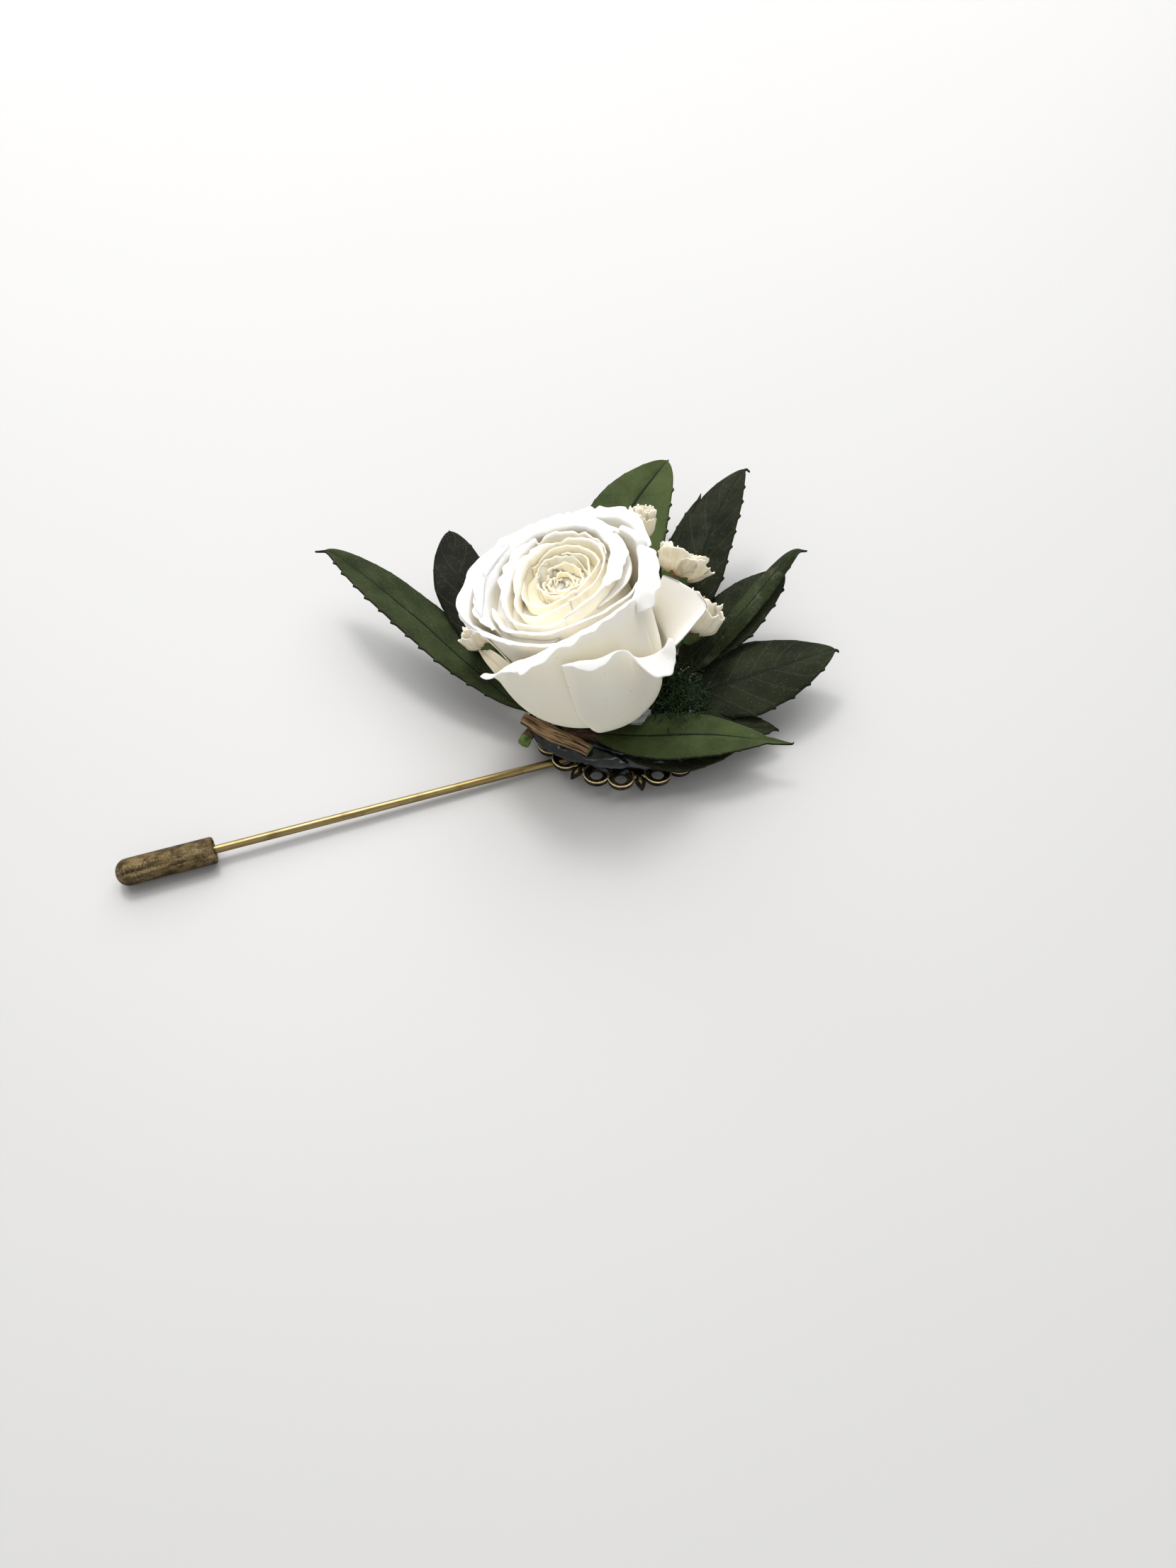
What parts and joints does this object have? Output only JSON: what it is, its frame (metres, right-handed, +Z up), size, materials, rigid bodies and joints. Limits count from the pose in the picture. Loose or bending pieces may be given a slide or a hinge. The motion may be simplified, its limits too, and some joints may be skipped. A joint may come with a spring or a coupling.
{
  "type": "boutonniere",
  "caption": "White rose boutonniere with dark leaves and small cream buds, set in a lace-edged brass tray on a straight lapel pin with a pull-off end cap.",
  "frame": {"origin": "middle of the object's box, on the surface that it rests on", "axes": "+Z up as it lies, +X along the object from the end cap towards the leaf tips, +Y towards the back leaf"},
  "size_m": [0.1034, 0.075, 0.0285],
  "materials": {
    "rose_petals": "matte, papery preserved petal, cream in the folds",
    "bud_petals": "matte cream dried petal, brownish at the base",
    "leaves": "satin dark green preserved leaf with fine pale dust",
    "calyx": "matte dried green",
    "twigs": "fibrous brown bark with pale green cut ends",
    "glue": "clear set glue, glossy, blue-grey over the tray",
    "tray_brass": "antique brass, dark in the recesses, worn bright on the raised edges",
    "solder": "dull smooth solder",
    "pin_brass": "satin drawn brass wire",
    "cap_bronze": "mottled antique bronze, lightly worn",
    "cap_liner": "soft black friction liner"
  },
  "bodies": {
    "root": {"petal_front": "rose_petals", "petal_right": "rose_petals", "petal_back": "rose_petals", "petal_left": "rose_petals", "petal_left_front": "rose_petals", "petal_right_roll": "rose_petals", "petal_left_back": "rose_petals", "petal_mid_1": "rose_petals", "petal_mid_2": "rose_petals", "petal_mid_3": "rose_petals", "petal_inner_1": "rose_petals", "petal_inner_2": "rose_petals", "petal_inner_3": "rose_petals", "petal_whorl_1": "rose_petals", "petal_whorl_2": "rose_petals", "petal_whorl_3": "rose_petals", "petal_whorl_4": "rose_petals", "petal_centre_1": "rose_petals", "petal_centre_2": "rose_petals", "rose_receptacle": "calyx", "leaf_left_long": "leaves", "leaf_left_back": "leaves", "leaf_back": "leaves", "leaf_back_right": "leaves", "leaf_back_under": "leaves", "leaf_right_narrow": "leaves", "leaf_right_back": "leaves", "leaf_right_broad": "leaves", "leaf_right_small": "leaves", "leaf_front": "leaves", "leaf_front_under": "leaves", "bud_back_calyx": "calyx", "bud_back_petals": "bud_petals", "bud_right_upper_calyx": "calyx", "bud_right_upper_petals": "bud_petals", "bud_right_lower_calyx": "calyx", "bud_right_lower_petals": "bud_petals", "bud_left_calyx": "calyx", "bud_left_petals": "bud_petals", "bud_petal_loose": "bud_petals", "twig_brown": "twigs", "twig_stub": "twigs", "glue_pad": "glue", "lace_tray": "tray_brass", "pin_solder_front": "solder", "pin_solder_rear": "solder", "pin_wire": "pin_brass"},
    "end_cap": {"pin_cap": "cap_bronze", "cap_liner": "cap_liner"}
  },
  "joints": [
    {"name": "cap_slide", "type": "slide", "parent": "root", "child": "end_cap", "axis": [-0.9493, -0.3139, 0.019], "range_m": [0, 0.01]}
  ]
}
